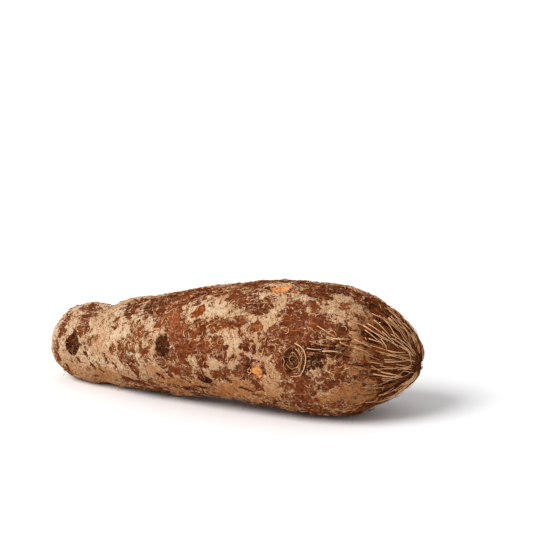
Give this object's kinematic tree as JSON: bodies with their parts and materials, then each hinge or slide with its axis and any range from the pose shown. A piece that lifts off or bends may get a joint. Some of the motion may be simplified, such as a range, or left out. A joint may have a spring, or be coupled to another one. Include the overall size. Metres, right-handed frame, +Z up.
{
  "type": "purple malanga tuber",
  "caption": "Whole purple malanga tuber lying on its side, thin at the root end and thick at the crown, with leaf rings, root scars and a fibrous crown.",
  "frame": {"origin": "on the surface that the tuber lies on, under the middle of its bounding box", "axes": "+X along the tuber towards the crown, +Z up, -Y towards the side that the picture shows"},
  "size_m": [0.216, 0.075, 0.0687],
  "materials": {
    "peel": "matte"
  },
  "bodies": {
    "root": {"tuber": "peel"}
  },
  "joints": []
}
